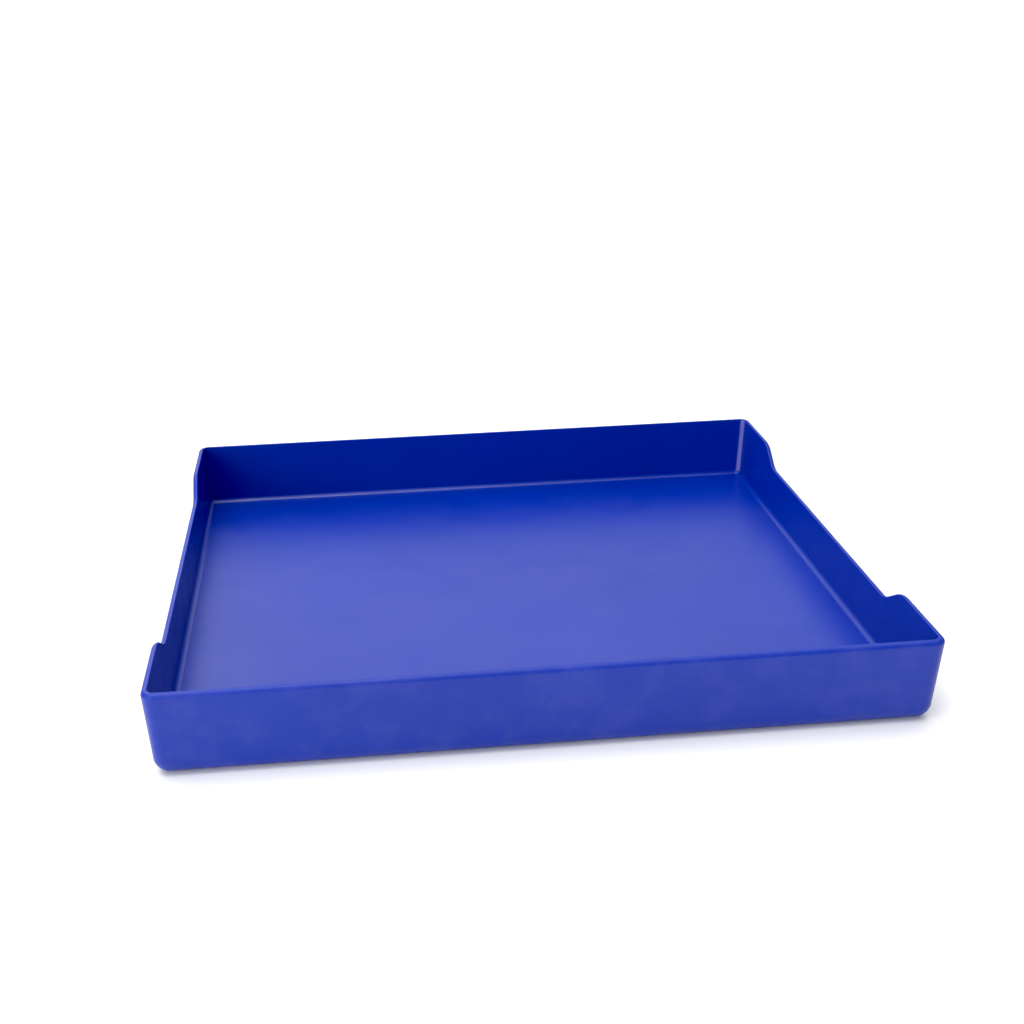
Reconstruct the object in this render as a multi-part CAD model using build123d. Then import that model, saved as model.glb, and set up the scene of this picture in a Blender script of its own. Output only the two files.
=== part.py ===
from build123d import *
import math
import os

# Mud pan: one shallow rectangular moulding with drafted walls. The long front and rear walls keep
# their full height; the left and right walls drop to a low section between two S-curved shoulders.
# Millimetres. +Z up, +X along the front wall, +Y towards the rear wall. The origin is at the centre
# of the pan, on the level of the foot ring that it stands on.

# Overall size, measured at the rim
width = 400.0
depth = 340.0
height = 48.0

# Moulding
wall = 3.3                 # the same thickness in the walls and the floor
draft = 3.0                # degrees that every wall leans outwards
corner_radius = 6.5        # upright corners, outside
inner_corner_radius = 4.0  # upright corners, inside
heel_radius = 9.0          # outside, between the walls and the underside
floor_fillet = 3.0         # inside, between the walls and the floor
rim_outer_radius = 2.6     # rounding of the rim's outer edge
rim_inner_radius = 0.5     # rounding of the rim's inner edge

# Low section of the left and right walls
low_height = 36.0          # rim height along the low section
shoulder_centre = 107.0    # distance from the middle of the wall to the middle of each shoulder
shoulder_slope = 33.0      # degrees, steepest part of the shoulder
shoulder_radius = 18.0     # blend radius at the top and the foot of the shoulder

# Underside: the floor is raised inside a narrow foot ring
floor_lift = 2.9           # height of the floor's lower face above the foot ring
ring_inset = 13.0          # distance from the foot of the walls to the inside of the foot ring
ring_corner_radius = 6.0   # corners of the ring's inside, in plan
ring_draft = 12.0          # degrees that the ring's inside leans
ring_fillet = 1.2          # between the ring's inside and the floor
ring_edge_radius = 0.8     # rounding of the ring's inner edge


def lean(z):
    """Distance that a wall's outer face stands inside the rim outline at height z."""
    return (height - z) * math.tan(math.radians(draft))


def tapered_block(inset, z_from, z_to, heel, corner):
    """Solid between two heights whose sides follow the outer walls, moved inwards by inset.

    Its lowest edges are rounded by heel and its upright edges by corner.
    """
    step = inset + lean(z_from)
    plan = Pos(0, 0, z_from) * Rectangle(width - 2 * step, depth - 2 * step)
    block = extrude(plan, amount=z_to - z_from, taper=-draft)

    def lowest():
        return block.faces().sort_by(Axis.Z)[0].edges()

    def upright():
        return [e for e in block.edges() if abs((e @ 1).Z - (e @ 0).Z) > 0.5 * height]

    rounds = sorted([(heel, lowest), (corner, upright)], key=lambda each: -each[0])
    for radius, edges in rounds:
        block = fillet(edges(), radius)
    return block


def underside_pocket():
    """Space under the raised floor, rounded along its upper edge."""
    step = lean(0) + ring_inset
    plan = RectangleRounded(width - 2 * step, depth - 2 * step, ring_corner_radius)
    pocket = extrude(plan, amount=floor_lift, taper=ring_draft)
    return fillet(pocket.faces().sort_by(Axis.Z)[-1].edges(), ring_fillet)


def dip_outline():
    """Face in the YZ plane that covers what is cut from above the low section, S-curves included."""
    slope = math.radians(shoulder_slope)
    arc_run = shoulder_radius * math.sin(slope)
    arc_rise = shoulder_radius * (1 - math.cos(slope))
    straight_rise = (height - low_height) - 2 * arc_rise
    straight_run = straight_rise / math.tan(slope)
    half_run = arc_run + straight_run / 2
    foot = (shoulder_centre - half_run, low_height)
    lower = (foot[0] + arc_run, low_height + arc_rise)
    upper = (lower[0] + straight_run, lower[1] + straight_rise)
    crest = (shoulder_centre + half_run, height)
    above = height + 10

    def arc(start, end, sign):
        bow = shoulder_radius * (1 - math.cos(slope / 2))
        return SagittaArc(start, end, sign * bow)

    def mirrored(point):
        return (-point[0], point[1])

    line = [
        Line(mirrored(foot), foot),
        arc(foot, lower, -1),
        Line(lower, upper),
        arc(upper, crest, 1),
        Line(crest, (crest[0], above)),
        Line((crest[0], above), (-crest[0], above)),
        Line((-crest[0], above), mirrored(crest)),
        arc(mirrored(crest), mirrored(upper), 1),
        Line(mirrored(upper), mirrored(lower)),
        arc(mirrored(lower), mirrored(foot), -1),
    ]
    return Plane.YZ * make_face(line)


def rim_edges(solid, inset, corner):
    """Edges of the rim on the wall surface that stands inwards by inset, corners included."""
    chosen = []
    for edge in solid.edges():
        gaps = []
        for spot in (edge @ t for t in (0.0, 0.25, 0.5, 0.75, 1.0)):
            step = inset + lean(spot.Z)
            past_x = abs(spot.X) - (width / 2 - step - corner)
            past_y = abs(spot.Y) - (depth / 2 - step - corner)
            if past_x > 0 and past_y > 0:
                gaps.append(abs(math.hypot(past_x, past_y) - corner))
            else:
                gaps.append(abs(max(past_x, past_y) - corner))
            if spot.Z < low_height - 0.1:
                gaps.append(height)
        if max(gaps) < 0.05:
            chosen.append(edge)
    return chosen


def pan_body():
    shell = tapered_block(0, 0, height, heel_radius, corner_radius)
    floor_top = floor_lift + wall
    shell -= tapered_block(wall, floor_top, height + 8, floor_fillet, inner_corner_radius)
    shell -= underside_pocket()
    ring = shell.faces().sort_by(Axis.Z)[0]
    shell = fillet(ring.inner_wires()[0].edges(), ring_edge_radius)
    shell -= extrude(dip_outline(), amount=width, both=True)
    shell = fillet(rim_edges(shell, 0, corner_radius), rim_outer_radius)
    return fillet(rim_edges(shell, wall, inner_corner_radius), rim_inner_radius)


os.makedirs("parts", exist_ok=True)
export_step(pan_body(), "parts/pan_body.step")
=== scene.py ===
import math
import bpy
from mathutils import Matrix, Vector


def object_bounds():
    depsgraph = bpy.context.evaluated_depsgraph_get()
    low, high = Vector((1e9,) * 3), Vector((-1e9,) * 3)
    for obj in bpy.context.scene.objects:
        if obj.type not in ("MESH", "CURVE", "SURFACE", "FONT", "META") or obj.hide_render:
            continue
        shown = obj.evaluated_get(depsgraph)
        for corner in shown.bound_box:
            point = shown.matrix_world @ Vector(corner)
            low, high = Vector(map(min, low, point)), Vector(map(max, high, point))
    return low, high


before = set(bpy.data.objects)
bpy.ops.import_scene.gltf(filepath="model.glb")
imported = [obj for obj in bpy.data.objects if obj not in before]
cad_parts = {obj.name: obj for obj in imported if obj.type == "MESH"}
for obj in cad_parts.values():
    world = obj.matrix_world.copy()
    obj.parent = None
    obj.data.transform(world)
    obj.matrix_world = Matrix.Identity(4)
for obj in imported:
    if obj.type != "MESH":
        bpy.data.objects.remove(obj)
cad_lo, cad_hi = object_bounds()

# The pan, metres
side_rim = 0.75 * cad_hi[2]     # height of the side walls' low section
rim_band = 0.003                # the rim's rounding lies within this much of its top

# Colours, linear
deep_blue = (0.0025, 0.0220, 0.302, 1)
royal_blue = (0.0040, 0.0250, 0.324, 1)
speck_blue = (0.010, 0.045, 0.400, 1)
# Pale lilac: painted highlight along the inside edges, and faint scuffs on the outer faces
highlight_and_scuff_lilac = (0.60, 0.55, 0.85, 1)
floor_grey = (0.92, 0.92, 0.92, 1)
floor_pale = (0.94, 0.94, 0.94, 1)
white = (1, 1, 1, 1)

# Painted highlights, wear and gloss
speckle_most = 0.10             # share of the speckle's blue where it is strongest
# Strength of the painted highlight in the inside radii, as a share of the lilac:
painted_corner_highlight = 0.29              # upright inside corners, at the right end of the pan
painted_floor_edge_highlight = 0.12               # radius round the floor, at the rear left
scuff_wear = 0.018              # outer faces, where they are scuffed most
gloss_rough = (0.325, 0.39)     # roughness of the glossiest and the dullest patches
rim_rough = 0.14                # what handling adds to the rim's roughness
plastic_ior = 1.43

# Black level, per channel: the deep blue in shade loses its last red and green, and keeps its blue
scene = bpy.context.scene
scene.view_settings.view_transform = "Standard"
scene.view_settings.look = "None"
scene.view_settings.use_curve_mapping = True
scene.view_settings.curve_mapping.black_level = (0.012, 0.0096, 0.0)


def principled(name):
    """A new node material and its Principled shader."""
    material = bpy.data.materials.new(name)
    material.use_nodes = True
    return material, material.node_tree.nodes["Principled BSDF"]


class Graph:
    """Adds and links shader nodes in one tree."""

    def __init__(self, tree):
        self.tree = tree

    def node(self, kind, **inputs):
        made = self.tree.nodes.new("ShaderNode" + kind)
        for name, value in inputs.items():
            self.set(made, name.replace("_", " "), value)
        return made

    def set(self, node, socket, value):
        target = node.inputs[socket]
        if isinstance(value, bpy.types.NodeSocket):
            self.tree.links.new(value, target)
        else:
            target.default_value = value

    def noise(self, vector, scale, detail=4.0, roughness=0.5, distortion=0.0):
        made = self.node("TexNoise", Vector=vector, Scale=scale, Detail=detail,
                         Roughness=roughness, Distortion=distortion)
        return made.outputs["Fac"]

    def ramp(self, value, low, high, out_low=0.0, out_high=1.0):
        """Smooth step from out_low at low to out_high at high."""
        made = self.node("MapRange")
        made.interpolation_type = "SMOOTHSTEP"
        for name, number in (("Value", value), ("From Min", low), ("From Max", high),
                             ("To Min", out_low), ("To Max", out_high)):
            self.set(made, name, number)
        return made.outputs["Result"]

    def math(self, operation, a, b):
        made = self.node("Math")
        made.operation = operation
        self.set(made, 0, a)
        self.set(made, 1, b)
        return made.outputs[0]

    def vector_math(self, operation, a, b=(0.0, 0.0, 0.0)):
        made = self.node("VectorMath")
        made.operation = operation
        self.set(made, 0, a)
        self.set(made, 1, b)
        return made.outputs

    def axes(self, vector):
        """The vector's parts, by the names X, Y and Z."""
        return self.node("SeparateXYZ", Vector=vector).outputs

    def mix(self, factor, a, b):
        """Colour from a to b. A Mix node's colours are its inputs 6 and 7, and its output 2."""
        made = self.node("Mix")
        made.data_type = "RGBA"
        self.set(made, 0, factor)
        self.set(made, 6, a)
        self.set(made, 7, b)
        return made.outputs[2]

    def bump(self, height, strength, distance, normal=None):
        made = self.node("Bump", Strength=strength, Distance=distance, Height=height)
        if normal is not None:
            self.set(made, "Normal", normal)
        return made.outputs["Normal"]


def highlight_and_wear_masks(g, place, facing):
    """Masks, 0 to 1: upright inside corners and radius round the floor, which carry the painted
    highlights, then rim, and outer faces.

    They follow the shape: a rounding faces along no one axis, and the hollow's sides face inwards.
    """
    sides = g.axes(g.vector_math("ABSOLUTE", facing)[0])
    squarest = g.math("MAXIMUM", g.math("MAXIMUM", sides["X"], sides["Y"]), sides["Z"])
    rounded = g.ramp(g.math("SUBTRACT", 1.0, squarest), 0.015, 0.14)
    outward = g.vector_math("MULTIPLY", place, (1.0, 1.0, 0.0))[0]
    away = g.vector_math("DOT_PRODUCT", facing, outward)["Value"]
    inward = g.math("LESS_THAN", away, 0.0)

    rise = g.axes(facing)["Z"]
    high_up = g.math("GREATER_THAN", g.axes(place)["Z"], side_rim - rim_band)
    rim = g.math("MULTIPLY", g.ramp(rise, 0.06, 0.45), high_up)
    below_rim = g.math("MULTIPLY", inward, g.math("SUBTRACT", 1.0, rim))
    hollow = g.math("MULTIPLY", rounded, below_rim)
    floor_edge = g.math("MULTIPLY", hollow, g.ramp(rise, 0.10, 0.30))
    upright = g.math("SUBTRACT", hollow, floor_edge)
    return upright, floor_edge, rim, g.ramp(away, 0.02, 0.10)


def painted_edge_highlights(g, place, upright, floor_edge):
    """Painted highlight along the inside edges: on the uprights towards the right, and along the
    floor's radius towards the rear left.
    """
    plan = g.axes(place)
    to_right = g.ramp(plan["X"], cad_lo[0], cad_hi[0])
    to_left = g.math("SUBTRACT", 1.0, to_right)
    to_rear_left = g.math("MULTIPLY", to_left, g.ramp(plan["Y"], cad_lo[1], cad_hi[1]))
    # Painted highlight: upright inside corners pale towards the right end, the floor's radius
    # towards the rear left
    uprights = g.math("MULTIPLY", upright, g.math("MULTIPLY", to_right, painted_corner_highlight))
    edges = g.math("MULTIPLY", floor_edge, g.math("MULTIPLY", to_rear_left, painted_floor_edge_highlight))
    uneven = g.noise(place, scale=60.0, detail=3.0, roughness=0.6)
    highlight_patchiness = g.ramp(uneven, 0.25, 0.75, out_low=0.7)
    return g.math("MULTIPLY", g.math("ADD", uprights, edges), highlight_patchiness)


def pan_plastic():
    """Royal blue moulding: clouded and speckled pigment, painted highlights along the inside edges,
    faint scuffs, uneven gloss and fine grain.
    """
    material, shader = principled("pan_plastic")
    g = Graph(material.node_tree)
    coordinates = g.node("TexCoord").outputs
    place = coordinates["Object"]
    upright, floor_edge, rim, outside = highlight_and_wear_masks(g, place, coordinates["Normal"])

    # pigment: slow clouds between two blues, with a faint speckle
    clouds = g.noise(place, scale=9.0, detail=3.0, roughness=0.5, distortion=0.4)
    speckle = g.noise(place, scale=900.0, detail=2.0, roughness=0.6)
    blue = g.mix(g.ramp(clouds, 0.30, 0.70), deep_blue, royal_blue)
    blue = g.mix(g.ramp(speckle, 0.30, 0.75, out_high=speckle_most), blue, speck_blue)

    # painted highlight: pale lines along the inside edges of the hollow; and faint real scuffs on
    # the outer faces
    handling = g.noise(place, scale=55.0, detail=5.0, roughness=0.6, distortion=0.2)
    scuffs = g.math("MULTIPLY", outside, g.ramp(handling, 0.42, 0.68, out_high=scuff_wear))
    # Base colour paled towards lilac by the painted edge highlights and the scuffs
    scuffs_and_painted_highlights = g.math("MAXIMUM", painted_edge_highlights(g, place, upright, floor_edge), scuffs)
    g.set(shader, "Base Color", g.mix(scuffs_and_painted_highlights, blue, highlight_and_scuff_lilac))

    # gloss: broad patches differ a little, and the handled rim is duller
    moulding = g.noise(place, scale=22.0, detail=4.0, roughness=0.6, distortion=0.6)
    patches = g.ramp(moulding, 0.30, 0.70, *gloss_rough)
    g.set(shader, "Roughness", g.math("ADD", patches, g.math("MULTIPLY", rim, rim_rough)))
    shader.inputs["IOR"].default_value = plastic_ior

    # fine moulded grain over a slight waviness
    waviness = g.noise(place, scale=30.0, detail=2.0)
    grain = g.noise(place, scale=1500.0, detail=3.0, roughness=0.6)
    wave = g.bump(waviness, strength=0.10, distance=0.0006)
    g.set(shader, "Normal", g.bump(grain, strength=0.12, distance=0.00004, normal=wave))
    return material


def stage_floor():
    """Wide matte off-white floor, at the level of the foot ring that the pan stands on."""
    material, shader = principled("stage_floor")
    g = Graph(material.node_tree)
    place = g.node("TexCoord").outputs["Object"]
    tone = g.ramp(g.noise(place, scale=3.0, detail=2.0), 0.3, 0.7)
    g.set(shader, "Base Color", g.mix(tone, floor_grey, floor_pale))
    shader.inputs["Roughness"].default_value = 0.9
    shader.inputs["Specular IOR Level"].default_value = 0.2
    mesh = bpy.data.meshes.new("stage_floor")
    reach = 30.0
    corners = [(-reach, -reach), (reach, -reach), (reach, reach), (-reach, reach)]
    mesh.from_pydata([(x, y, cad_lo[2]) for x, y in corners], [], [(0, 1, 2, 3)])
    mesh.materials.append(material)
    floor = bpy.data.objects.new("stage_floor", mesh)
    scene.collection.objects.link(floor)


def toward(azimuth, elevation):
    """Unit vector: azimuth clockwise from +Y seen from above, elevation above the floor, degrees."""
    turn, rise = math.radians(azimuth), math.radians(elevation)
    return Vector((math.cos(rise) * math.sin(turn), math.cos(rise) * math.cos(turn), math.sin(rise)))


def studio_world(glows, focus, backdrop_strength):
    """Soft glows round each (azimuth, elevation, strength), and a white backdrop.

    The glows light the pan and the floor. The camera sees the backdrop in their place.
    """
    world = bpy.data.worlds.new("studio")
    world.use_nodes = True
    g = Graph(world.node_tree)
    where = g.node("TexCoord").outputs["Generated"]
    total = 0.0
    for azimuth, elevation, strength in glows:
        nearness = g.vector_math("DOT_PRODUCT", where, toward(azimuth, elevation))["Value"]
        fall = g.math("MULTIPLY", g.math("SUBTRACT", nearness, 1.0), focus)
        glow = g.math("MULTIPLY", g.math("EXPONENT", fall, 0.0), strength)
        total = g.math("ADD", glow, total)
    light = world.node_tree.nodes["Background"]
    g.set(light, "Color", white)
    g.set(light, "Strength", total)
    backdrop = g.node("Background", Color=white, Strength=backdrop_strength)
    seen = g.node("MixShader")
    g.set(seen, 0, g.node("LightPath").outputs["Is Camera Ray"])
    g.set(seen, 1, light.outputs[0])
    g.set(seen, 2, backdrop.outputs[0])
    g.set(world.node_tree.nodes["World Output"], "Surface", seen.outputs[0])
    scene.world = world


def soft_box(name, azimuth, elevation, distance, size, watts):
    """Square soft light that faces the pan."""
    light = bpy.data.lights.new(name, "AREA")
    light.shape = "SQUARE"
    light.size = size
    light.energy = watts
    lamp = bpy.data.objects.new(name, light)
    lamp.location = toward(azimuth, elevation) * distance
    lamp.rotation_euler = (-lamp.location).to_track_quat("-Z", "Y").to_euler()
    scene.collection.objects.link(lamp)


# Camera, at the photograph's viewing angle; turned by degrees about X, Y and Z
lens = bpy.data.cameras.new("camera")
lens.sensor_width = 36.0
lens.lens = 46.09
lens.shift_x = 0.0471
lens.shift_y = -0.0234
lens.clip_start = 0.01
camera = bpy.data.objects.new("camera", lens)
camera.location = (-0.0933, -0.7196, 0.3744)
camera.rotation_euler = [math.radians(turn) for turn in (67.495, 1.117, -5.726)]
scene.collection.objects.link(camera)
scene.camera = camera

# Studio
studio_world([
    (0, 90, 2.41),
    (0, 50, 1.27),
    (0, 25, 0.58),
    (225, 12, 1.95),
], focus=6.0, backdrop_strength=1.1)
soft_box("soft_box_corner", azimuth=223, elevation=18, distance=1.15, size=0.5, watts=2.75)
soft_box("soft_box_above", azimuth=243, elevation=71, distance=1.37, size=1.0, watts=7.26)
soft_box("soft_box_rear", azimuth=322, elevation=29, distance=1.02, size=0.5, watts=1.6)
stage_floor()

# Finish on the moulding
for slot in bpy.data.objects["pan_body"].material_slots:
    slot.material = pan_plastic()
